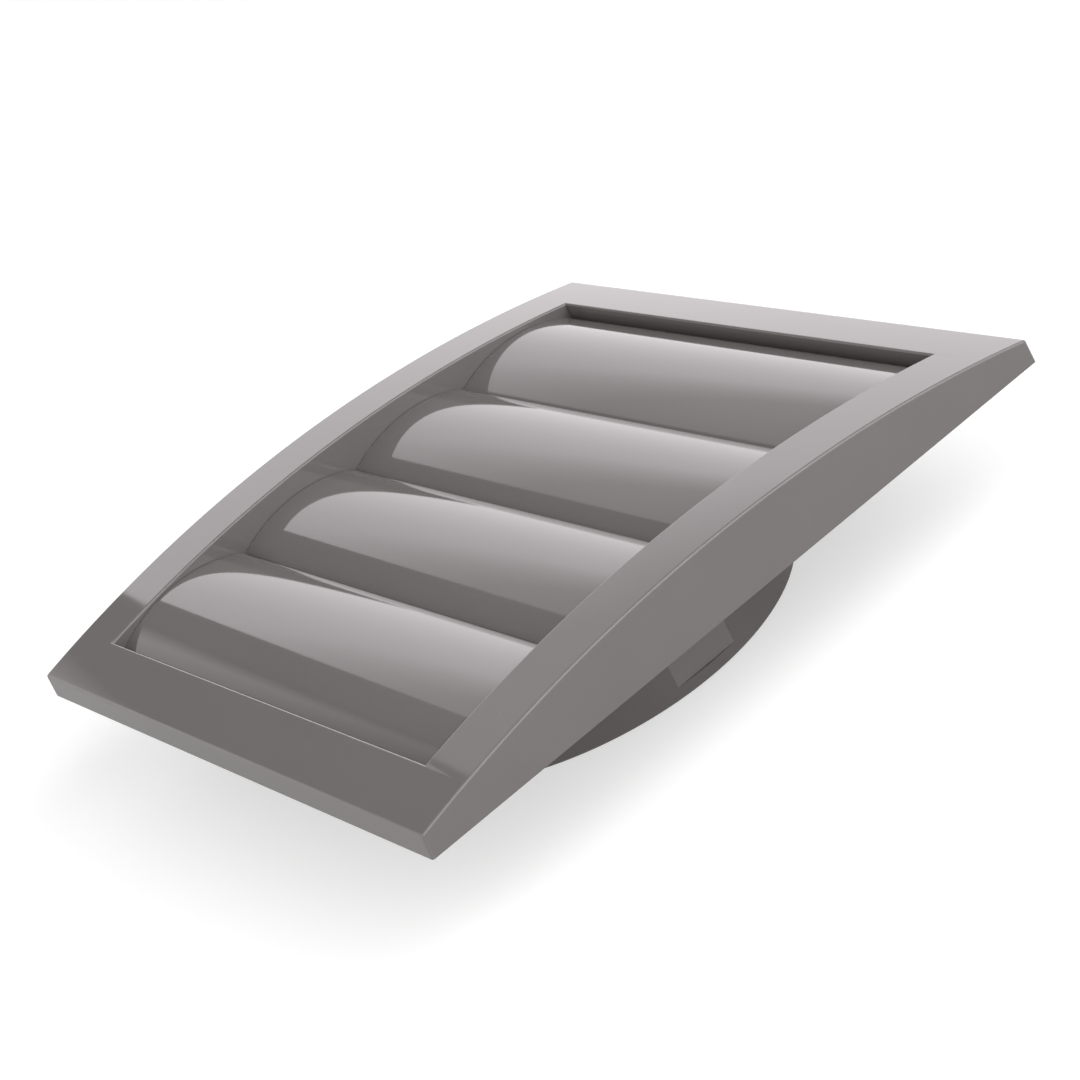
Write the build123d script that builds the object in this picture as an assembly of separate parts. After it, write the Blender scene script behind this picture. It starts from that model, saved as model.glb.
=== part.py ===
from build123d import *
import os
from math import radians, sqrt, tan

# Gravity-flap wall vent grille, lying face up on its spigot.
# +Z points out of the wall, +Y up the wall and +X along the flaps.
# The origin is on the spigot's axis, in the plane that sits against the wall.

# Frame
frame_width = 154.0      # along the flaps
frame_height = 154.0     # up the wall
edge_height = 5.1        # depth of the frame at its upper and lower edges
arch_rise = 9.4          # how far the middle stands above those edges
end_lean = 3.3           # degrees that the upper and lower edges lean inwards
frame_wall = 2.0
edge_radius = 0.5
shoulder_radius = 0.6    # where the face turns down at the upper and lower edges
side_rail = 13.85        # width of the face beside the window
head_rail = 11.65        # width of the face above the window
sill_rail = 12.5         # width of the face below the window
cheek = 1.8              # wall round the window
back_plate = 1.5
rib = 1.2                # webs that tie the cheeks to the side walls

# Spigot
spigot_diameter = 99.4   # slides into a 100 mm duct
spigot_wall = 1.8
spigot_length = 23.9
spigot_chamfer = 0.4
flat_width = 15.0        # flat down each side of the spigot
flat_ring = 2.6          # full round left between the flats and the rim

# Flaps
flap_count = 4
flap_radius = 35.0       # outer curve of the slat
flap_wall = 1.3
lip_radius = 0.2
lip_height = 5.9         # lower edge of a closed flap, above the wall plane
last_lip_height = 5.2    # the last flap reaches further round its curve, down to the sill
hinge_height = 5.3       # hinge axes above the wall plane
top_hinge_drop = 1.65    # the first hinge sits lower, where the arch is thin
bead_radius = 1.9
pin_diameter = 2.4
pin_overhang = 0.6       # pin standing past the cheek
pin_clearance = 0.05     # all round the pin
end_clearance = 0.4      # flap end to cheek
bead_clearance = 0.95    # first bead to the top of the window
lip_clearance = 0.05     # lip to the bead of the flap below
sill_gap = 1.4           # last lip to the bottom of the window

# Stops on the cheeks, under the lower corners of the closed flaps
stop_length = 2.2
stop_width = 2.5
stop_wall = 1.5
stop_clearance = 0.3

# Worked out from the sizes above
window_width = frame_width - 2 * side_rail
window_height = frame_height - head_rail - sill_rail
window_rise = (sill_rail - head_rail) / 2
arch_height = edge_height + arch_rise
spigot_radius = spigot_diameter / 2
bore_radius = spigot_radius - spigot_wall
flap_length = window_width - 2 * end_clearance
lip_spacing = bead_radius + lip_clearance
first_hinge = frame_height / 2 - head_rail - bead_clearance - bead_radius
last_lip = sill_rail + sill_gap - frame_height / 2
hinge_pitch = (first_hinge - last_lip) / flap_count

standing = (Align.CENTER, Align.CENTER, Align.MIN)
hanging = (Align.CENTER, Align.CENTER, Align.MAX)


def hinge_place(number):
    drop = top_hinge_drop if number == 0 else 0
    return first_hinge - number * hinge_pitch, hinge_height - drop


def lip_place(number):
    # just above the bead of the flap below, or at the sill
    if number == flap_count - 1:
        return last_lip, last_lip_height
    return first_hinge - (number + 1) * hinge_pitch + lip_spacing, lip_height


def arched_block(inset):
    # the frame's outside, or the same shape set in by a wall and running out of the back
    half_height = frame_height / 2 - inset
    low = -inset
    high = edge_height - inset
    foot = half_height - low * tan(radians(end_lean))
    shoulder = half_height - high * tan(radians(end_lean))
    sides = Polyline((-shoulder, high), (-foot, low), (foot, low), (shoulder, high))
    arch = ThreePointArc((shoulder, high), (0, arch_height - inset), (-shoulder, high))
    section = Plane.YZ * make_face(sides + arch)
    return extrude(section, frame_width / 2 - inset, both=True)


def upright_block(width, height, bottom):
    # from a given level to well above the arch
    return Pos(0, 0, bottom) * Box(width, height, 2 * arch_height, align=standing)


def side_outline(edge):
    # round the two flat sides, apart from where they meet the wall
    middle = edge.center()
    return abs(middle.X) > frame_width / 2 - edge_radius / 4 and middle.Z > edge_radius / 4


def make_shell():
    outside = arched_block(0)
    shoulders = outside.edges().filter_by(Axis.X).filter_by(lambda edge: edge.center().Z > edge_height / 2)
    outside = fillet(shoulders, shoulder_radius)
    outside = fillet(outside.edges().filter_by(side_outline), edge_radius)
    well = Pos(0, window_rise, 0) * upright_block(window_width + 2 * cheek, window_height + 2 * cheek, 0)
    webs = Part()
    for number in range(flap_count):
        level = hinge_place(number)[0] - hinge_pitch / 2
        webs += Pos(0, level, 0) * upright_block(frame_width, rib, 0)
    hollow = arched_block(frame_wall) - well - webs
    window = Pos(0, window_rise, 0) * upright_block(window_width, window_height, back_plate)
    return outside - hollow - window


def round_window(shell):
    # soften the window's edge where the face turns down into it
    def round_face(edge):
        middle = edge.center()
        beside = abs(abs(middle.X) - window_width / 2) < edge_radius / 4
        above = abs(abs(middle.Y - window_rise) - window_height / 2) < edge_radius / 4
        return (beside or above) and middle.Z > back_plate + edge_radius

    level_edges = shell.edges().filter_by(Axis.Z, reverse=True)
    return fillet(level_edges.filter_by(round_face), edge_radius)


def make_spigot():
    # the tube reaches into the back plate, and each flat leaves a full ring at the rim
    tube = Pos(0, 0, -spigot_length) * Cylinder(spigot_radius, spigot_length + back_plate, align=standing)
    tube = chamfer(tube.edges().sort_by(Axis.Z)[0], spigot_chamfer)
    flat_depth = spigot_radius - sqrt(spigot_radius**2 - (flat_width / 2) ** 2)
    flat_length = spigot_length - flat_ring
    for side in (-1, 1):
        cutter = Box(2 * flat_depth, spigot_diameter, flat_length, align=hanging)
        tube -= Pos(side * spigot_radius, 0, 0) * cutter
    return tube


def make_stops():
    stops = Part()
    for number in range(flap_count):
        level, height = lip_place(number)
        top = height - flap_wall - stop_clearance
        for side in (-1, 1):
            place = Pos(side * (window_width - stop_length) / 2, level + lip_spacing, top)
            stops += place * Box(stop_length, stop_width, stop_wall, align=hanging)
    return stops


def make_frame():
    frame = round_window(make_shell()) + make_spigot() + make_stops()
    frame -= Pos(0, 0, -spigot_length) * Cylinder(bore_radius, spigot_length + back_plate, align=standing)
    for number in range(flap_count):
        level, height = hinge_place(number)
        holes = Cylinder(pin_diameter / 2 + pin_clearance, window_width + 4 * cheek)
        frame -= Pos(0, level, height) * Rot(0, 90, 0) * holes
    return frame


def curve_centre(lip):
    # centre of the slat's outer curve, from the hinge: it passes the lip and lies against the bead
    near = flap_radius - bead_radius
    along = (lip.length**2 + near**2 - flap_radius**2) / (2 * lip.length)
    aside = sqrt(near**2 - along**2)
    toward = lip.normalized()
    return toward * along + Vector(-toward.Y, toward.X) * aside


def make_flap(number):
    # closed flap on its hinge, with the slat hanging towards -Y
    hinge = Vector(*hinge_place(number))
    lip = Vector(*lip_place(number)) - hinge
    middle = curve_centre(lip)
    hinge_end = middle - middle.normalized() * flap_radius
    crown = middle + ((lip + hinge_end) / 2 - middle).normalized() * flap_radius
    inner = [point + (middle - point).normalized() * flap_wall for point in (lip, crown, hinge_end)]
    outline = ThreePointArc(lip, crown, hinge_end) + Line(hinge_end, inner[2])
    outline += ThreePointArc(inner[2], inner[1], inner[0]) + Line(inner[0], lip)
    slat = make_face(outline)
    slat = fillet(slat.vertices().sort_by(Axis.X)[:2], lip_radius)
    body = extrude(Plane.YZ * (slat + Circle(bead_radius)), flap_length / 2, both=True)
    pin_length = flap_length + 2 * (end_clearance + cheek + pin_overhang)
    body += Rot(0, 90, 0) * Cylinder(pin_diameter / 2, pin_length)
    return Pos(0, hinge.X, hinge.Y) * body


os.makedirs("parts", exist_ok=True)
export_step(make_frame(), "parts/frame.step")
for number in range(flap_count):
    export_step(make_flap(number), f"parts/flap_{number + 1}.step")
    level, height = hinge_place(number)
    print(f"hinge {number + 1}: y {level:.4f}, z {height:.4f}")
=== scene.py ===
from math import acos, asin, atan2, cos, hypot, pi, radians, sin, sqrt, tan

import bmesh
import bpy
from mathutils import Matrix, Vector


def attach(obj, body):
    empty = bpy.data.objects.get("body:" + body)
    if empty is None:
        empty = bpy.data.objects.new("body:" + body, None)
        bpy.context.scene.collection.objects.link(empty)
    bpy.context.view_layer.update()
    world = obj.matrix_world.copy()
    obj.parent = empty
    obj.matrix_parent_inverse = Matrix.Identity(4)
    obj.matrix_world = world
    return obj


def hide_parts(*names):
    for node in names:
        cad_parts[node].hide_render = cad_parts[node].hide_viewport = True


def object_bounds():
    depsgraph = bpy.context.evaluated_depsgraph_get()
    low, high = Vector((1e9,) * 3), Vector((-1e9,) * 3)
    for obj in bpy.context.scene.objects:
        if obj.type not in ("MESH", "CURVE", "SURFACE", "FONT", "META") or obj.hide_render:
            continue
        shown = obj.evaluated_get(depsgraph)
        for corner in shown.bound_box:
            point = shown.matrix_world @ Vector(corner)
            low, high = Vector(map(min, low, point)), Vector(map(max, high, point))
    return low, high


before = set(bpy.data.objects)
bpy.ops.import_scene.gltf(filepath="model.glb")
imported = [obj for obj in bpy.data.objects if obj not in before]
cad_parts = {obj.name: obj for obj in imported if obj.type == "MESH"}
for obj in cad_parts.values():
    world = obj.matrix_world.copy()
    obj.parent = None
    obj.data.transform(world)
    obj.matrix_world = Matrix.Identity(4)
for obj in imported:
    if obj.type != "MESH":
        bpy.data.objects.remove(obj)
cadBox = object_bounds()
mm = 0.001
mergeDistance = 0.0005 * mm

scene = bpy.context.scene
scene.view_settings.view_transform = "Standard"


# small helpers for meshes

def makeObject(name, bm):
    mesh = bpy.data.meshes.new(name)
    bm.to_mesh(mesh)
    bm.free()
    obj = bpy.data.objects.new(name, mesh)
    scene.collection.objects.link(obj)
    return obj


def dropObject(obj):
    mesh = obj.data
    bpy.data.objects.remove(obj)
    bpy.data.meshes.remove(mesh)


def bakeModifiers(obj):
    # the evaluated shape becomes the object's own plain mesh
    bpy.context.view_layer.update()
    graph = bpy.context.evaluated_depsgraph_get()
    made = bpy.data.meshes.new_from_object(obj.evaluated_get(graph))
    obj.modifiers.clear()
    old = obj.data
    obj.data = made
    made.name = obj.name
    bpy.data.meshes.remove(old)


def carve(obj, tool, operation):
    step = obj.modifiers.new(operation.lower(), "BOOLEAN")
    step.operation = operation
    step.solver = "EXACT"
    step.object = tool
    bakeModifiers(obj)
    dropObject(tool)


def addBox(bm, low, high):
    size = Vector(high) - Vector(low)
    place = Matrix.Translation((Vector(high) + Vector(low)) / 2) @ Matrix.Diagonal((*size, 1))
    bmesh.ops.create_cube(bm, size=1, matrix=place)


def addTurned(bm, rings, count):
    # closed solid of revolution about Z from (radius, height) pairs, bottom to top
    loops = []
    for radius, height in rings:
        turns = [2 * pi * step / count for step in range(count)]
        loops.append([bm.verts.new((radius * cos(a), radius * sin(a), height)) for a in turns])
    for lower, upper in zip(loops, loops[1:]):
        for step in range(count):
            after = (step + 1) % count
            bm.faces.new((lower[step], lower[after], upper[after], upper[step]))
    bm.faces.new(loops[0][::-1])
    bm.faces.new(loops[-1])


def smoothShade(obj, sharpAngle=32):
    # merge doubles, face outwards, keep corners crisp and let big faces lead the normals
    bm = bmesh.new()
    bm.from_mesh(obj.data)
    bmesh.ops.remove_doubles(bm, verts=bm.verts, dist=mergeDistance)
    bmesh.ops.dissolve_degenerate(bm, edges=bm.edges, dist=mergeDistance)
    bmesh.ops.recalc_face_normals(bm, faces=bm.faces)
    for face in bm.faces:
        face.smooth = True
    for edge in bm.edges:
        edge.smooth = len(edge.link_faces) == 2 and edge.calc_face_angle(pi) < radians(sharpAngle)
    bm.to_mesh(obj.data)
    bm.free()
    even = obj.modifiers.new("evenNormals", "WEIGHTED_NORMAL")
    even.mode = "FACE_AREA"
    even.keep_sharp = True
    bakeModifiers(obj)


# camera, matched to the photo

cameraSetup = {
    "place": (0.50946, -0.23145, 0.25151),
    "look": (-0.82662, 0.38176, -0.41346),
    "up": (-0.14005, 0.57204, 0.80818),
    "lens": 102.3,       # mm
    "sensor": 36.0,      # mm wide
}


def placeCamera(setup):
    data = bpy.data.cameras.new("camera")
    data.lens = setup["lens"]
    data.sensor_width = setup["sensor"]
    data.clip_start = 0.01
    camera = bpy.data.objects.new("camera", data)
    scene.collection.objects.link(camera)
    back = -Vector(setup["look"]).normalized()
    right = Vector(setup["up"]).cross(back).normalized()
    up = back.cross(right)
    turn = Matrix((right, up, back)).transposed().to_4x4()
    camera.matrix_world = Matrix.Translation(setup["place"]) @ turn
    scene.camera = camera


placeCamera(cameraSetup)
print("camera placed")


# node helpers

def addNode(tree, kind, **settings):
    made = tree.nodes.new(kind)
    for name, value in settings.items():
        setattr(made, name, value)
    return made


def feed(tree, socket, value):
    # a socket is linked, a plain number or vector is set
    if isinstance(value, bpy.types.NodeSocket):
        tree.links.new(value, socket)
    else:
        socket.default_value = value


def sums(tree, operation, first, second=0.0):
    made = addNode(tree, "ShaderNodeMath", operation=operation)
    feed(tree, made.inputs[0], first)
    feed(tree, made.inputs[1], second)
    return made.outputs[0]


# finishes: shared groups first, then one plastic per moulding

def startGroup(name, inputs, outputs):
    group = bpy.data.node_groups.new(name, "ShaderNodeTree")
    for label, kind, value in inputs:
        socket = group.interface.new_socket(label, in_out="INPUT", socket_type="NodeSocket" + kind)
        if value is not None:
            socket.default_value = value
    for label, kind in outputs:
        group.interface.new_socket(label, in_out="OUTPUT", socket_type="NodeSocket" + kind)
    return group, addNode(group, "NodeGroupInput").outputs, addNode(group, "NodeGroupOutput").inputs


noiseSpan = (0.3, 0.7)   # where most of a noise lies


def noise(tree, vector, scale, detail, roughness=0.5):
    made = addNode(tree, "ShaderNodeTexNoise")
    feed(tree, made.inputs["Vector"], vector)
    feed(tree, made.inputs["Scale"], scale)
    made.inputs["Detail"].default_value = detail
    made.inputs["Roughness"].default_value = roughness
    return made.outputs["Fac"]


def spread(tree, value, low, high, toLow, toHigh):
    made = addNode(tree, "ShaderNodeMapRange")
    labels = ("Value", "From Min", "From Max", "To Min", "To Max")
    for label, item in zip(labels, (value, low, high, toLow, toHigh)):
        feed(tree, made.inputs[label], item)
    return made.outputs["Result"]


def blend(tree, share, first, second):
    made = addNode(tree, "ShaderNodeMix", data_type="RGBA")
    feed(tree, made.inputs["Factor"], share)
    feed(tree, made.inputs[6], first)
    feed(tree, made.inputs[7], second)
    return made.outputs[2]


def makeMouldedSkin():
    # orange peel and flow lines of the moulding, with a gloss that drifts over the surface
    group, given, out = startGroup(
        "mouldedSkin",
        [("Vector", "Vector", None), ("Peel Size", "Float", 900.0), ("Peel Share", "Float", 0.6),
         ("Flow Size", "Float", 60.0), ("Gloss", "Float", 0.12), ("Gloss Drift", "Float", 0.03)],
        [("Height", "Float"), ("Roughness", "Float"), ("Tone", "Float")])
    swellScale = 0.16    # of the peel's
    flowStretch = (0.18, 1.0, 1.0)
    flowShare = 0.7
    peel = noise(group, given["Vector"], given["Peel Size"], 3.0)
    swell = noise(group, given["Vector"], sums(group, "MULTIPLY", given["Peel Size"], swellScale), 2.0)
    stretch = addNode(group, "ShaderNodeMapping")
    feed(group, stretch.inputs["Vector"], given["Vector"])
    stretch.inputs["Scale"].default_value = flowStretch
    flow = noise(group, stretch.outputs["Vector"], given["Flow Size"], 4.0, 0.6)
    fine = sums(group, "MULTIPLY", peel, given["Peel Share"])
    broad = sums(group, "MULTIPLY", swell, sums(group, "SUBTRACT", 1.0, given["Peel Share"]))
    feed(group, out["Height"], sums(group, "ADD", fine, broad))
    streaks = sums(group, "MULTIPLY", flow, flowShare)
    drift = sums(group, "ADD", streaks, sums(group, "MULTIPLY", peel, 1 - flowShare))
    low = sums(group, "SUBTRACT", given["Gloss"], given["Gloss Drift"])
    high = sums(group, "ADD", given["Gloss"], given["Gloss Drift"])
    feed(group, out["Roughness"], spread(group, drift, *noiseSpan, low, high))
    feed(group, out["Tone"], spread(group, flow, *noiseSpan, 0.0, 1.0))
    return group


def makeHandledEdge():
    # edges rubbed a little paler and duller, in patches; at the sill rim, where the mark is larger, the
    # paler colour is a painted highlight
    group, given, out = startGroup(
        "handledEdge",
        [("Vector", "Vector", None), ("Edge", "Float", 0.0), ("Color", "Color", None),
         ("Rub Color", "Color", None), ("Roughness", "Float", 0.12), ("Rub", "Float", 0.35),
         ("Patch Size", "Float", 140.0)],
        [("Color", "Color"), ("Roughness", "Float")])
    patchSpan = (0.36, 0.64)
    leastRub = 0.45
    rubGrain = 0.25      # added to the roughness where the rub is full
    cloud = noise(group, given["Vector"], given["Patch Size"], 4.0, 0.65)
    patch = spread(group, cloud, *patchSpan, leastRub, 1.0)
    share = sums(group, "MULTIPLY", sums(group, "MULTIPLY", given["Edge"], patch), given["Rub"])
    feed(group, out["Color"], blend(group, share, given["Color"], given["Rub Color"]))
    duller = sums(group, "MULTIPLY", share, rubGrain)
    feed(group, out["Roughness"], sums(group, "ADD", given["Roughness"], duller))
    return group


def makeFineDust():
    # a few pale specks that settle on faces that look up
    group, given, out = startGroup(
        "fineDust",
        [("Vector", "Vector", None), ("Up", "Float", 0.0), ("Color", "Color", None),
         ("Dust Color", "Color", None), ("Speck Size", "Float", 650.0), ("Amount", "Float", 0.3)],
        [("Color", "Color"), ("Mask", "Float")])
    bareCells = 0.965    # share of the cells that hold no speck
    speckSpan = (0.06, 0.14)
    cells = addNode(group, "ShaderNodeTexVoronoi", feature="F1")
    feed(group, cells.inputs["Vector"], given["Vector"])
    feed(group, cells.inputs["Scale"], given["Speck Size"])
    split = addNode(group, "ShaderNodeSeparateColor")
    feed(group, split.inputs[0], cells.outputs["Color"])
    chosen = sums(group, "GREATER_THAN", split.outputs[0], bareCells)
    dot = spread(group, cells.outputs["Distance"], *speckSpan, 1.0, 0.0)
    mask = sums(group, "MULTIPLY", sums(group, "MULTIPLY", dot, chosen), given["Amount"])
    mask = sums(group, "MULTIPLY", mask, given["Up"])
    feed(group, out["Color"], blend(group, mask, given["Color"], given["Dust Color"]))
    feed(group, out["Mask"], mask)
    return group


mouldedSkin = makeMouldedSkin()
handledEdge = makeHandledEdge()
fineDust = makeFineDust()

framePlastic = {
    "color": (0.147, 0.1355, 0.133, 1),
    "deepColor": (0.139, 0.1275, 0.1255, 1),
    "rubColor": (0.28, 0.267, 0.264, 1),
    # paler colour of the spigot's flats: painted light, not a colour of the plastic
    "flatPaintedLightColor": (0.19, 0.1775, 0.175, 1),
    "gloss": 0.06,
    "glossDrift": 0.012,
    "peelSize": 1100.0,
    "peelDepth": 0.0022,  # mm
    "flowSize": 55.0,
    "rub": 0.16,
    "sillPaintedHighlight": 5.0,       # times that, at the sill rim where the last flap lands: a painted highlight, the paler rub colour standing in for the rim's highlight
    "dust": 0.12,
    "dustColor": (0.5, 0.49, 0.47, 1),
    "dustGrain": 0.4,     # added to the roughness of a speck
    "mattGrain": 0.3,     # added to the roughness of the spigot's flats
    "ior": 1.5,
}
flapPlastic = dict(framePlastic, peelDepth=0.0016, flowSize=75.0, rub=0.1)


def place(tree, group, **values):
    made = addNode(tree, "ShaderNodeGroup", node_tree=group)
    for label, value in values.items():
        words = "".join(" " + letter if letter.isupper() else letter for letter in label).strip()
        feed(tree, made.inputs[words.title()], value)
    return made.outputs


def makePlastic(name, finish):
    material = bpy.data.materials.new(name)
    material.use_nodes = True
    tree = material.node_tree
    shader = tree.nodes["Principled BSDF"]
    where = addNode(tree, "ShaderNodeTexCoord").outputs["Object"]
    edge = addNode(tree, "ShaderNodeAttribute", attribute_name="edgeRound").outputs["Fac"]
    facing = addNode(tree, "ShaderNodeSeparateXYZ")
    feed(tree, facing.inputs[0], addNode(tree, "ShaderNodeNewGeometry").outputs["Normal"])
    up = sums(tree, "MAXIMUM", facing.outputs["Z"], 0.0)
    skin = place(tree, mouldedSkin, vector=where, peelSize=finish["peelSize"], flowSize=finish["flowSize"],
                 gloss=finish["gloss"], glossDrift=finish["glossDrift"])
    flatMask = addNode(tree, "ShaderNodeAttribute", attribute_name="mattFlatPaintedLight").outputs["Fac"]
    body = blend(tree, skin["Tone"], finish["deepColor"], finish["color"])
    # the spigot's flats painted paler: painted light
    body = blend(tree, flatMask, body, finish["flatPaintedLightColor"])
    grain = sums(tree, "ADD", skin["Roughness"], sums(tree, "MULTIPLY", flatMask, finish["mattGrain"]))
    rubbed = place(tree, handledEdge, vector=where, edge=edge, color=body, rubColor=finish["rubColor"],
                   roughness=grain, rub=finish["rub"])
    dusty = place(tree, fineDust, vector=where, up=up, color=rubbed["Color"],
                  dustColor=finish["dustColor"], amount=finish["dust"])
    specks = sums(tree, "MULTIPLY", dusty["Mask"], finish["dustGrain"])
    dull = sums(tree, "ADD", rubbed["Roughness"], specks)
    bump = addNode(tree, "ShaderNodeBump")
    bump.inputs["Distance"].default_value = finish["peelDepth"] * mm
    feed(tree, bump.inputs["Height"], skin["Height"])
    feed(tree, shader.inputs["Base Color"], dusty["Color"])
    feed(tree, shader.inputs["Roughness"], dull)
    feed(tree, shader.inputs["Normal"], bump.outputs["Normal"])
    shader.inputs["IOR"].default_value = finish["ior"]
    return material


frameMaterial = makePlastic("greyFramePlastic", framePlastic)
flapMaterial = makePlastic("greyFlapPlastic", flapPlastic)
print("plastics mixed")


# frame: arched shell, window, spigot, stops and pin holes

frameSizes = {           # mm, as the CAD part has them
    "width": 154.0, "height": 154.0, "edgeHeight": 5.1, "archRise": 9.4, "endLean": 3.3,
    "wall": 2.0, "edgeRadius": 0.5, "shoulderRadius": 0.6, "sideRail": 13.85, "headRail": 11.65,
    "sillRail": 12.5, "cheek": 1.8, "backPlate": 1.5, "rib": 1.2,
    "archSteps": 118, "edgeSteps": 6, "shoulderSteps": 6,
}
spigotSizes = {
    "diameter": 99.4, "wall": 1.8, "length": 23.9, "chamfer": 0.4,
    "flatWidth": 15.0, "flatRing": 2.6, "steps": 192,
    "boreOver": 0.3,     # how far the bore's cutter passes the back plate
}
flapSizes = {
    "count": 4, "radius": 35.0, "wall": 1.3, "lipRadius": 0.2, "lipHeight": 5.9, "lastLipHeight": 5.2,
    "hingeHeight": 5.3, "topHingeDrop": 1.65, "beadRadius": 1.9, "beadClearance": 0.95,
    "lipClearance": 0.05, "sillGap": 1.4, "endClearance": 0.4, "endSoftening": 0.12, "curveSteps": 96,
    "pinDiameter": 2.4, "pinOverhang": 0.6, "pinClearance": 0.05,
    "pinSteps": 48, "holeSteps": 32, "beadSteps": 24, "lipSteps": 5, "softSteps": 2,
    "stopLength": 2.2, "stopWidth": 2.5, "stopWall": 1.5, "stopClearance": 0.3,
    "stopRoot": 0.5,     # how far a stop is set into its cheek
}
windowWidth = frameSizes["width"] - 2 * frameSizes["sideRail"]
windowHead = frameSizes["height"] / 2 - frameSizes["headRail"]
windowSill = frameSizes["sillRail"] - frameSizes["height"] / 2
archHeight = frameSizes["edgeHeight"] + frameSizes["archRise"]
lipSpacing = flapSizes["beadRadius"] + flapSizes["lipClearance"]
firstHinge = windowHead - flapSizes["beadClearance"] - flapSizes["beadRadius"]
lastLip = windowSill + flapSizes["sillGap"]
hingePitch = (firstHinge - lastLip) / flapSizes["count"]
cutPast = 9.0            # how far other cutters pass what they cut


def hingePlace(number):
    drop = flapSizes["topHingeDrop"] if number == 0 else 0
    return firstHinge - number * hingePitch, flapSizes["hingeHeight"] - drop


def lipPlace(number):
    # just above the bead of the flap below, or at the sill
    if number == flapSizes["count"] - 1:
        return lastLip, flapSizes["lastLipHeight"]
    return firstHinge - (number + 1) * hingePitch + lipSpacing, flapSizes["lipHeight"]


def archedBlock(inset):
    half = frameSizes["height"] / 2 - inset
    lean = tan(radians(frameSizes["endLean"]))
    low = -inset
    high = frameSizes["edgeHeight"] - inset
    foot = half - low * lean
    shoulder = half - high * lean
    rise = archHeight - inset - high
    radius = (shoulder**2 + rise**2) / (2 * rise)
    reach = asin(shoulder / radius)
    outline = [(-foot, low), (foot, low)]
    for step in range(frameSizes["archSteps"] + 1):
        angle = reach - 2 * reach * step / frameSizes["archSteps"]
        outline.append((radius * sin(angle), high + rise - radius + radius * cos(angle)))
    bm = bmesh.new()
    side = (frameSizes["width"] / 2 - inset) * mm
    left = [bm.verts.new((-side, y * mm, z * mm)) for y, z in outline]
    right = [bm.verts.new((side, y * mm, z * mm)) for y, z in outline]
    bm.faces.new(left[::-1])
    bm.faces.new(right)
    for step in range(len(outline)):
        after = (step + 1) % len(outline)
        bm.faces.new((left[step], left[after], right[after], right[step]))
    bmesh.ops.recalc_face_normals(bm, faces=bm.faces)
    return bm


def roundEdges(bm, edges, radius, steps):
    marks = bm.faces.layers.float.get("edgeRound") or bm.faces.layers.float.new("edgeRound")
    back = radius * mm * tan(edges[0].calc_face_angle() / 2)
    made = bmesh.ops.bevel(bm, geom=edges, offset=back, offset_type="OFFSET", segments=steps, profile=0.5,
                           affect="EDGES", clamp_overlap=False)
    for face in made["faces"]:
        face[marks] = 1.0


def makeShell():
    # shoulders first, then the outline of the two flat sides in one run
    bm = archedBlock(0)
    above = frameSizes["edgeRadius"] * mm
    crease = radians(20)
    crisp = [edge for edge in bm.edges if edge.calc_face_angle(0) > crease]
    high = [edge for edge in crisp if min(vert.co.z for vert in edge.verts) > above]
    shoulders = [edge for edge in high if edge.calc_length() > frameSizes["width"] / 2 * mm]
    roundEdges(bm, shoulders, frameSizes["shoulderRadius"], frameSizes["shoulderSteps"])
    crisp = [edge for edge in bm.edges if edge.calc_face_angle(0) > crease]
    outline = [edge for edge in crisp if max(vert.co.z for vert in edge.verts) > above]
    roundEdges(bm, outline, frameSizes["edgeRadius"], frameSizes["edgeSteps"])
    return makeObject("ventFrame", bm)


def makeHollow():
    # the space behind the rails, split by the webs
    hollow = makeObject("hollow", archedBlock(frameSizes["wall"]))
    cheek = frameSizes["cheek"]
    side = (windowWidth / 2 + cheek) * mm
    top = 2 * archHeight * mm
    well = bmesh.new()
    addBox(well, (-side, (windowSill - cheek) * mm, -cutPast * mm), (side, (windowHead + cheek) * mm, top))
    carve(hollow, makeObject("well", well), "DIFFERENCE")
    webs = bmesh.new()
    across = frameSizes["width"] / 2 * mm
    for number in range(flapSizes["count"]):
        level = (hingePlace(number)[0] - hingePitch / 2) * mm
        half = frameSizes["rib"] / 2 * mm
        addBox(webs, (-across, level - half, 0), (across, level + half, top))
    carve(hollow, makeObject("webs", webs), "DIFFERENCE")
    return hollow


def makeWindow():
    bm = bmesh.new()
    addBox(bm, (-windowWidth / 2 * mm, windowSill * mm, frameSizes["backPlate"] * mm),
           (windowWidth / 2 * mm, windowHead * mm, 2 * archHeight * mm))
    return makeObject("window", bm)


def makeSpigot():
    outer = spigotSizes["diameter"] / 2
    low = -spigotSizes["length"]
    bm = bmesh.new()
    rings = [(outer - spigotSizes["chamfer"], low), (outer, low + spigotSizes["chamfer"]),
             (outer, frameSizes["backPlate"] / 2)]
    addTurned(bm, [(radius * mm, height * mm) for radius, height in rings], spigotSizes["steps"])
    spigot = makeObject("spigot", bm)
    depth = outer - sqrt(outer**2 - (spigotSizes["flatWidth"] / 2) ** 2)
    flats = bmesh.new()
    across = spigotSizes["flatWidth"] * mm
    for side in (-1, 1):
        ends = sorted((side * (outer - depth) * mm, side * (outer + cutPast) * mm))
        addBox(flats, (ends[0], -across, (low + spigotSizes["flatRing"]) * mm), (ends[1], across, 0))
    carve(spigot, makeObject("flats", flats), "DIFFERENCE")
    return spigot


def makeStops():
    bm = bmesh.new()
    half = flapSizes["stopWidth"] / 2
    for number in range(flapSizes["count"]):
        level, height = lipPlace(number)
        level += lipSpacing
        top = height - flapSizes["wall"] - flapSizes["stopClearance"]
        for side in (-1, 1):
            inner = windowWidth / 2 - flapSizes["stopLength"]
            rooted = windowWidth / 2 + flapSizes["stopRoot"]
            ends = sorted((side * inner, side * rooted))
            addBox(bm, (ends[0] * mm, (level - half) * mm, (top - flapSizes["stopWall"]) * mm),
                   (ends[1] * mm, (level + half) * mm, top * mm))
    return makeObject("stops", bm)


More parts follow.
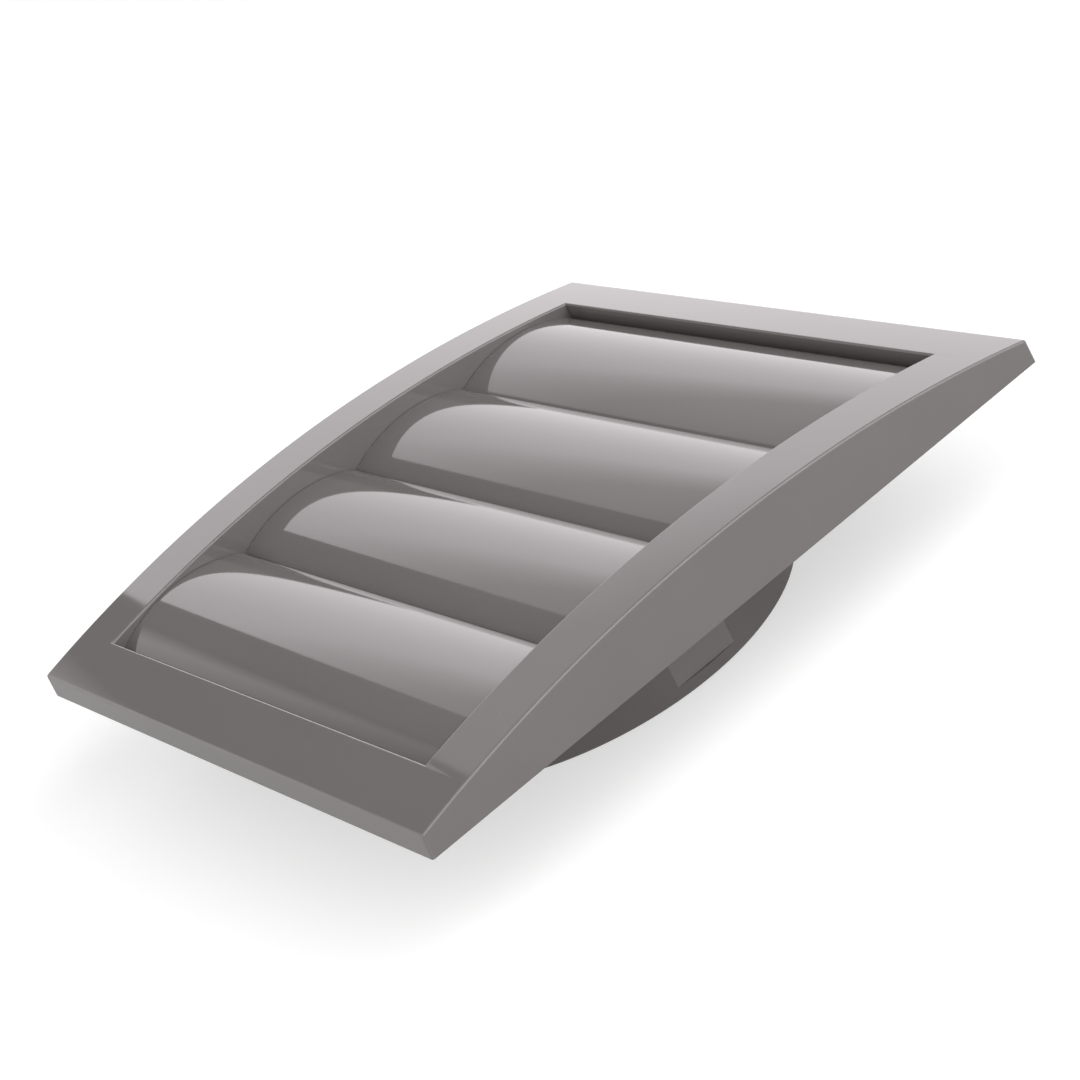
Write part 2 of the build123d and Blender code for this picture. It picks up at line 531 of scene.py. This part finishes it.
def makeBoreAndHoles():
    bm = bmesh.new()
    bore = (spigotSizes["diameter"] / 2 - spigotSizes["wall"]) * mm
    low = -(spigotSizes["length"] + cutPast) * mm
    high = (frameSizes["backPlate"] + spigotSizes["boreOver"]) * mm
    addTurned(bm, [(bore, low), (bore, high)], spigotSizes["steps"])
    radius = (flapSizes["pinDiameter"] / 2 + flapSizes["pinClearance"]) * mm
    long = (windowWidth + 4 * frameSizes["cheek"]) * mm
    for number in range(flapSizes["count"]):
        level, height = hingePlace(number)
        turn = Matrix.Translation((0, level * mm, height * mm)) @ Matrix.Rotation(pi / 2, 4, "Y")
        bmesh.ops.create_cone(bm, cap_ends=True, segments=flapSizes["holeSteps"], radius1=radius,
                              radius2=radius, depth=long, matrix=turn)
    return makeObject("boreAndHoles", bm)


def roundWindow(shell):
    # the face turns down into the window over a small radius
    bm = bmesh.new()
    bm.from_mesh(shell.data)
    bmesh.ops.remove_doubles(bm, verts=bm.verts, dist=mergeDistance)
    rim = []
    for edge in bm.edges:
        if len(edge.link_faces) != 2:
            continue
        level, upright = sorted((face.normal.z for face in edge.link_faces), reverse=True)
        onFace = min(vert.co.z for vert in edge.verts) > frameSizes["edgeHeight"] * mm
        if onFace and level > 0.9 and abs(upright) < 0.1:
            rim.append(edge)
    roundEdges(bm, rim, frameSizes["edgeRadius"], frameSizes["edgeSteps"])
    # the sill rim's faces get a much larger mark, so the paler rub colour there is a painted highlight
    marks = bm.faces.layers.float["edgeRound"]
    for face in bm.faces:
        offSill = abs(face.calc_center_median().y - windowSill * mm)
        if face[marks] and offSill < frameSizes["edgeRadius"] * mm and abs(face.normal.x) < 0.1:
            face[marks] = framePlastic["sillPaintedHighlight"]
    bm.to_mesh(shell.data)
    bm.free()


def markFlats(obj):
    # the spigot's two flats are marked: they render rougher, and a paler colour there is painted light that
    # stands in for the light they catch
    outer = spigotSizes["diameter"] / 2
    flat = sqrt(outer**2 - (spigotSizes["flatWidth"] / 2) ** 2)
    bm = bmesh.new()
    bm.from_mesh(obj.data)
    marks = bm.faces.layers.float.new("mattFlatPaintedLight")
    for face in bm.faces:
        middle = face.calc_center_median()
        if abs(face.normal.x) > 0.999 and abs(abs(middle.x) - flat * mm) < 0.05 * mm and middle.z < 0:
            face[marks] = 1.0
    bm.to_mesh(obj.data)
    bm.free()


ventFrame = makeShell()
carve(ventFrame, makeHollow(), "DIFFERENCE")
carve(ventFrame, makeWindow(), "DIFFERENCE")
roundWindow(ventFrame)
carve(ventFrame, makeSpigot(), "UNION")
carve(ventFrame, makeStops(), "UNION")
carve(ventFrame, makeBoreAndHoles(), "DIFFERENCE")
markFlats(ventFrame)
smoothShade(ventFrame)
ventFrame.data.materials.clear()
ventFrame.data.materials.append(frameMaterial)
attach(ventFrame, "frame")
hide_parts("frame")
print("frame made,", len(ventFrame.data.polygons), "faces")


# flaps: one slat tree, run once for each hinge

def startTree(name, inputs):
    tree = bpy.data.node_groups.new(name, "GeometryNodeTree")
    keys = {}
    for label, kind in inputs:
        socket = tree.interface.new_socket(label, in_out="INPUT", socket_type="NodeSocket" + kind)
        keys[label] = socket.identifier
    tree.interface.new_socket("Geometry", in_out="OUTPUT", socket_type="NodeSocketGeometry")
    return tree, keys, addNode(tree, "NodeGroupInput").outputs, addNode(tree, "NodeGroupOutput").inputs


def vector(tree, x=0.0, y=0.0, z=0.0):
    made = addNode(tree, "ShaderNodeCombineXYZ")
    for socket, value in zip(made.inputs, (x, y, z)):
        feed(tree, socket, value)
    return made.outputs[0]


def makeSlatTree():
    tree, keys, given, out = startTree("hungSlat", [
        ("Length", "Float"), ("Arc Length", "Float"), ("Inner Share", "Float"), ("Curve Radius", "Float"),
        ("Wall", "Float"), ("Lip Radius", "Float"), ("Middle Angle", "Float"), ("Centre", "Vector"),
        ("Bead Radius", "Float"), ("Bead Start", "Float"), ("Bead Sweep", "Float"), ("Pin Radius", "Float"),
        ("Pin Length", "Float"), ("Steps", "Int"), ("Hinge", "Vector"), ("Plastic", "Material")])

    # flat strip, finely cut along its long sides, with the lip's corners rounded
    hair = 1e-6
    strip = addNode(tree, "GeometryNodeCurvePrimitiveQuadrilateral", mode="RECTANGLE")
    feed(tree, strip.inputs["Width"], given["Arc Length"])
    feed(tree, strip.inputs["Height"], given["Wall"])
    corner = addNode(tree, "GeometryNodeInputIndex").outputs[0]
    odd = sums(tree, "MODULO", corner, 2.0)
    cuts = sums(tree, "MULTIPLY", sums(tree, "SUBTRACT", 1.0, odd), given["Steps"])
    beadCuts = sums(tree, "MULTIPLY", sums(tree, "COMPARE", corner, 3.0), flapSizes["beadSteps"])
    cut = addNode(tree, "GeometryNodeSubdivideCurve")
    feed(tree, cut.inputs["Curve"], strip.outputs[0])
    feed(tree, cut.inputs["Cuts"], sums(tree, "ADD", cuts, beadCuts))
    at = addNode(tree, "ShaderNodeSeparateXYZ")
    feed(tree, at.inputs[0], addNode(tree, "GeometryNodeInputPosition").outputs[0])
    halfArc = sums(tree, "MULTIPLY", given["Arc Length"], 0.5)
    lipEnd = sums(tree, "ADD", sums(tree, "MULTIPLY", halfArc, -1.0), hair)
    atLip = sums(tree, "LESS_THAN", at.outputs["X"], lipEnd)
    soft = addNode(tree, "GeometryNodeFilletCurve", mode="POLY")
    feed(tree, soft.inputs["Curve"], cut.outputs[0])
    feed(tree, soft.inputs["Radius"], sums(tree, "MULTIPLY", atLip, given["Lip Radius"]))
    soft.inputs["Count"].default_value = flapSizes["lipSteps"]

    # bend it round the slat's centre, and turn its inner end into the bead
    rise = sums(tree, "ADD", sums(tree, "DIVIDE", at.outputs["Y"], given["Wall"]), 0.5)
    less = sums(tree, "MULTIPLY", sums(tree, "SUBTRACT", 1.0, given["Inner Share"]), rise)
    share = sums(tree, "ADD", given["Inner Share"], less)
    along = sums(tree, "MULTIPLY", sums(tree, "ADD", at.outputs["X"], halfArc), share)
    along = sums(tree, "SUBTRACT", along, halfArc)
    angle = sums(tree, "ADD", given["Middle Angle"], sums(tree, "DIVIDE", along, given["Curve Radius"]))
    inset = sums(tree, "SUBTRACT", at.outputs["Y"], sums(tree, "MULTIPLY", given["Wall"], 0.5))
    arm = sums(tree, "ADD", given["Curve Radius"], inset)
    centre = addNode(tree, "ShaderNodeSeparateXYZ")
    feed(tree, centre.inputs[0], given["Centre"])
    bentX = sums(tree, "ADD", centre.outputs["X"], sums(tree, "MULTIPLY", arm, sums(tree, "SINE", angle)))
    bentY = sums(tree, "ADD", centre.outputs["Y"], sums(tree, "MULTIPLY", arm, sums(tree, "COSINE", angle)))
    beadAngle = sums(tree, "ADD", given["Bead Start"], sums(tree, "MULTIPLY", given["Bead Sweep"], rise))
    beadX = sums(tree, "MULTIPLY", given["Bead Radius"], sums(tree, "SINE", beadAngle))
    beadY = sums(tree, "MULTIPLY", given["Bead Radius"], sums(tree, "COSINE", beadAngle))
    atBead = sums(tree, "GREATER_THAN", at.outputs["X"], sums(tree, "SUBTRACT", halfArc, hair))
    pick = addNode(tree, "GeometryNodeSwitch", input_type="VECTOR")
    feed(tree, pick.inputs["Switch"], atBead)
    feed(tree, pick.inputs["False"], vector(tree, bentX, bentY))
    feed(tree, pick.inputs["True"], vector(tree, beadX, beadY))
    bend = addNode(tree, "GeometryNodeSetPosition")
    feed(tree, bend.inputs["Geometry"], soft.outputs[0])
    feed(tree, bend.inputs["Position"], pick.outputs[0])

    # draw it out along the hinge and add the pin
    line = addNode(tree, "GeometryNodeCurvePrimitiveLine", mode="POINTS")
    halfLength = sums(tree, "MULTIPLY", given["Length"], 0.5)
    feed(tree, line.inputs["Start"], vector(tree, z=sums(tree, "MULTIPLY", halfLength, -1.0)))
    feed(tree, line.inputs["End"], vector(tree, z=halfLength))
    drawn = addNode(tree, "GeometryNodeCurveToMesh")
    feed(tree, drawn.inputs["Curve"], line.outputs[0])
    feed(tree, drawn.inputs["Profile Curve"], bend.outputs[0])
    drawn.inputs["Fill Caps"].default_value = True
    pin = addNode(tree, "GeometryNodeMeshCylinder", fill_type="NGON")
    pin.inputs["Vertices"].default_value = flapSizes["pinSteps"]
    feed(tree, pin.inputs["Radius"], given["Pin Radius"])
    feed(tree, pin.inputs["Depth"], given["Pin Length"])
    both = addNode(tree, "GeometryNodeJoinGeometry")
    tree.links.new(drawn.outputs[0], both.inputs[0])
    tree.links.new(pin.outputs[0], both.inputs[0])

    # lay it along X and hang it on its hinge
    hung = addNode(tree, "GeometryNodeTransform")
    feed(tree, hung.inputs["Geometry"], both.outputs[0])
    hung.inputs["Rotation"].default_value = (pi / 2, 0, pi / 2)
    feed(tree, hung.inputs["Translation"], given["Hinge"])
    plain = addNode(tree, "GeometryNodeRealizeInstances")
    feed(tree, plain.inputs[0], hung.outputs[0])
    coat = addNode(tree, "GeometryNodeSetMaterial")
    feed(tree, coat.inputs["Geometry"], plain.outputs[0])
    feed(tree, coat.inputs["Material"], given["Plastic"])
    feed(tree, out["Geometry"], coat.outputs[0])
    return tree, keys


def slatShape(number):
    # the slat's curve about the hinge: it passes the lip and lies against the bead
    radius, bead, wall = flapSizes["radius"], flapSizes["beadRadius"], flapSizes["wall"]
    level, height = hingePlace(number)
    lip = (lipPlace(number)[0] - level, lipPlace(number)[1] - height)
    span = hypot(*lip)
    near = radius - bead
    along = (span**2 + near**2 - radius**2) / (2 * span)
    aside = sqrt(near**2 - along**2)
    toward = (lip[0] / span, lip[1] / span)
    centre = (along * toward[0] - aside * toward[1], along * toward[1] + aside * toward[0])
    hingeAngle = atan2(-centre[0], -centre[1])
    lipAngle = atan2(lip[0] - centre[0], lip[1] - centre[1])
    short = acos(((radius - wall) ** 2 + near**2 - bead**2) / (2 * (radius - wall) * near))
    innerAngle = hingeAngle - short
    meets = (centre[0] + (radius - wall) * sin(innerAngle), centre[1] + (radius - wall) * cos(innerAngle))
    beadStart = atan2(*meets) % (2 * pi)
    return {
        "Arc Length": radius * (hingeAngle - lipAngle) * mm,
        "Inner Share": (innerAngle - lipAngle) / (hingeAngle - lipAngle),
        "Curve Radius": radius * mm,
        "Wall": wall * mm,
        "Lip Radius": flapSizes["lipRadius"] * mm,
        "Middle Angle": (hingeAngle + lipAngle) / 2,
        "Centre": (centre[0] * mm, centre[1] * mm, 0),
        "Bead Radius": bead * mm,
        "Bead Start": beadStart,
        "Bead Sweep": hingeAngle - beadStart,
        "Hinge": (0, level * mm, height * mm),
    }


def softenEnds(flap):
    # a hair off the long slat's cut ends
    bm = bmesh.new()
    bm.from_mesh(flap.data)
    marks = bm.faces.layers.float.new("edgeRound")
    flat = [face for face in bm.faces if abs(face.normal.x) > 0.99]
    ends = [face for face in flat if len(face.verts) > flapSizes["pinSteps"]]
    rims = {edge for face in ends for edge in face.edges}
    made = bmesh.ops.bevel(bm, geom=list(rims), offset=flapSizes["endSoftening"] * mm, offset_type="OFFSET",
                           segments=flapSizes["softSteps"], profile=0.5, affect="EDGES",
                           clamp_overlap=True)
    for face in made["faces"]:
        face[marks] = 1.0
    bm.to_mesh(flap.data)
    bm.free()


def makeFlap(number, tree, keys):
    long = windowWidth - 2 * flapSizes["endClearance"]
    pinLong = long + 2 * (flapSizes["endClearance"] + frameSizes["cheek"] + flapSizes["pinOverhang"])
    values = slatShape(number)
    values["Length"] = long * mm
    values["Pin Radius"] = flapSizes["pinDiameter"] / 2 * mm
    values["Pin Length"] = pinLong * mm
    values["Steps"] = flapSizes["curveSteps"]
    values["Plastic"] = flapMaterial
    name = "flap" + str(number + 1)
    flap = bpy.data.objects.new(name, bpy.data.meshes.new(name))
    scene.collection.objects.link(flap)
    grow = flap.modifiers.new("hungSlat", "NODES")
    grow.node_group = tree
    for label, value in values.items():
        grow[keys[label]] = value
    bakeModifiers(flap)
    softenEnds(flap)
    smoothShade(flap)
    body = "flap_" + str(number + 1)
    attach(flap, body)
    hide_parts(body)
    print(name, "made,", len(flap.data.polygons), "faces")


slatTree, slatKeys = makeSlatTree()
for number in range(flapSizes["count"]):
    makeFlap(number, slatTree, slatKeys)


# floor, cards and light

lightSetup = {
    "sky": 0.86,                # what the world gives the object's colour
    "floorReach": 4.0,
    "floorDrop": 0.0001,        # just under the spigot's rim
    "floorColor": 0.6,
    "floorGlow": 0.52,          # only what the camera sees
    "floorMirrorGlow": 0.18,    # only what mirrors see
    "cardEdge": (-0.68, 0.038),  # x and y of the white card's left edge
    "cardFar": (-0.58, 1.5, -0.02),  # x and y of its right edge, and its foot
    "cardTint": (1.0, 0.955, 0.985, 1),
    "cardGlow": (1.95, 1.0),    # white card behind the object, low and high
    "cardFade": (0.36, 0.47),   # heights between which it falls off
    "gapSize": (0.39, 0.65),    # width and height of the dark gap beside that card
    "gapColor": 0.25,
    "ceilingColor": 0.1,
    "sideEdge": (-0.2, -0.0405, -0.314),  # x, y on the floor and lean of the small card at the left
    "sideSize": (-0.4, 0.22),   # far y and top
    "sideSoft": 0.016,          # over which that edge comes up
    "sideShare": 0.25,          # of its glow, at the very edge
    "sideGlow": (1.3, 0.65),
    "sideFade": (0.07, 0.16),
    "ceiling": (-0.9, 0.2, -0.3, 1.2, 1.1),  # low x, high x, low y, high y, height
    "keyPlace": (0.8, 0.42, 0.66),
    "keySize": (1.25, 1.1),
    "keyPower": 10.5,
    "keyTint": (1.0, 1.0, 1.0),
    "fillPlace": (0.3, -1.2, 0.25),
    "fillSize": (1.0, 0.6),
    "fillPower": 3.0,
    "fillTint": (1.0, 0.945, 0.94),
}


def makePanel(name, corners):
    bm = bmesh.new()
    bm.faces.new([bm.verts.new(corner) for corner in corners])
    panel = makeObject(name, bm)
    return panel


def seen(tree):
    # camera, mirror and glass rays all see the plain white set
    path = addNode(tree, "ShaderNodeLightPath").outputs
    mirrored = sums(tree, "MAXIMUM", path["Is Glossy Ray"], path["Is Transmission Ray"])
    return sums(tree, "MAXIMUM", path["Is Camera Ray"], mirrored)


def makeFloor(setup):
    level = cadBox[0].z - setup["floorDrop"]
    wide = setup["floorReach"]
    corners = ((-wide, -wide), (wide, -wide), (wide, wide), (-wide, wide))
    floor = makePanel("floor", [(x, y, level) for x, y in corners])
    material = bpy.data.materials.new("paleFloor")
    material.use_nodes = True
    tree = material.node_tree
    shader = tree.nodes["Principled BSDF"]
    tone = setup["floorColor"]
    shader.inputs["Base Color"].default_value = (tone, tone, tone, 1)
    shader.inputs["Roughness"].default_value = 1.0
    shader.inputs["Specular IOR Level"].default_value = 0.0
    shader.inputs["Emission Color"].default_value = (1, 1, 1, 1)
    path = addNode(tree, "ShaderNodeLightPath").outputs
    straight = sums(tree, "MAXIMUM", path["Is Camera Ray"], path["Is Transmission Ray"])
    mirrored = sums(tree, "MULTIPLY", path["Is Glossy Ray"], setup["floorMirrorGlow"])
    glow = sums(tree, "ADD", sums(tree, "MULTIPLY", straight, setup["floorGlow"]), mirrored)
    feed(tree, shader.inputs["Emission Strength"], glow)
    floor.data.materials.append(material)


def mirrorOnly(panel):
    panel.visible_camera = False
    panel.visible_diffuse = False
    panel.visible_shadow = False


def makeGlow(name, panel, tint, fade, glow, edge=None):
    # a card that shines evenly up to one height and falls off to another, with one soft edge if asked
    mirrorOnly(panel)
    material = bpy.data.materials.new(name)
    material.use_nodes = True
    tree = material.node_tree
    tree.nodes.remove(tree.nodes["Principled BSDF"])
    shine = addNode(tree, "ShaderNodeEmission")
    shine.inputs["Color"].default_value = tint
    height = addNode(tree, "ShaderNodeSeparateXYZ")
    feed(tree, height.inputs[0], addNode(tree, "ShaderNodeTexCoord").outputs["Object"])
    strength = spread(tree, height.outputs["Z"], fade[0], fade[1], glow[0], glow[1])
    if edge:
        start, lean, soft, share = edge
        border = sums(tree, "ADD", sums(tree, "MULTIPLY", height.outputs["Z"], lean), start)
        inside = sums(tree, "SUBTRACT", border, height.outputs["Y"])
        strength = sums(tree, "MULTIPLY", strength, spread(tree, inside, 0.0, soft, share, 1.0))
    feed(tree, shine.inputs["Strength"], strength)
    feed(tree, tree.nodes["Material Output"].inputs["Surface"], shine.outputs[0])
    panel.data.materials.append(material)


def makeCards(setup):
    x, y = setup["cardEdge"]
    top = setup["cardFade"][1]
    farX, farY, foot = setup["cardFar"]
    back = makePanel("backCard", [(x, y, foot), (x, y, top), (farX, farY, top), (farX, farY, foot)])
    makeGlow("backCard", back, setup["cardTint"], setup["cardFade"], setup["cardGlow"])
    x, y, lean = setup["sideEdge"]
    reach, top = setup["sideSize"]
    side = makePanel("sideCard", [(x, y, 0), (x, y + lean * top, top), (x, reach, top), (x, reach, 0)])
    edge = (y, lean, setup["sideSoft"], setup["sideShare"])
    makeGlow("sideCard", side, setup["cardTint"], setup["sideFade"], setup["sideGlow"], edge)


def makeFlag(name, tone, corners):
    flag = makePanel(name, corners)
    flag.visible_camera = False
    material = bpy.data.materials.new(name)
    material.use_nodes = True
    shader = material.node_tree.nodes["Principled BSDF"]
    shader.inputs["Base Color"].default_value = (tone, tone, tone, 1)
    shader.inputs["Roughness"].default_value = 1.0
    shader.inputs["Specular IOR Level"].default_value = 0.0
    flag.data.materials.append(material)
    return flag


def makeFlags(setup):
    x, y = setup["cardEdge"]
    wide, top = setup["gapSize"]
    gap = [(x, y - wide, 0), (x, y - wide, top), (x, y, top), (x, y, 0)]
    mirrorOnly(makeFlag("darkGap", setup["gapColor"], gap))
    left, right, front, back, top = setup["ceiling"]
    ceiling = [(left, front, top), (left, back, top), (right, back, top), (right, front, top)]
    makeFlag("darkCeiling", setup["ceilingColor"], ceiling)


def makeLamp(name, part, setup):
    data = bpy.data.lights.new(name, "AREA")
    data.shape = "RECTANGLE"
    data.size, data.size_y = setup[part + "Size"]
    data.energy = setup[part + "Power"]
    data.color = setup[part + "Tint"]
    lamp = bpy.data.objects.new(name, data)
    scene.collection.objects.link(lamp)
    spot = Vector(setup[part + "Place"])
    lamp.location = spot
    lamp.rotation_mode = "QUATERNION"
    lamp.rotation_quaternion = (-spot).to_track_quat("-Z", "Y")


def makeSky(setup):
    world = bpy.data.worlds.new("whiteRoom")
    world.use_nodes = True
    scene.world = world
    tree = world.node_tree
    back = tree.nodes["Background"]
    back.inputs["Color"].default_value = (1, 1, 1, 1)
    feed(tree, back.inputs["Strength"], spread(tree, seen(tree), 0.0, 1.0, setup["sky"], 1.0))


makeFloor(lightSetup)
makeCards(lightSetup)
makeFlags(lightSetup)
makeLamp("softKey", "key", lightSetup)
makeLamp("frontFill", "fill", lightSetup)
makeSky(lightSetup)
print("set lit")
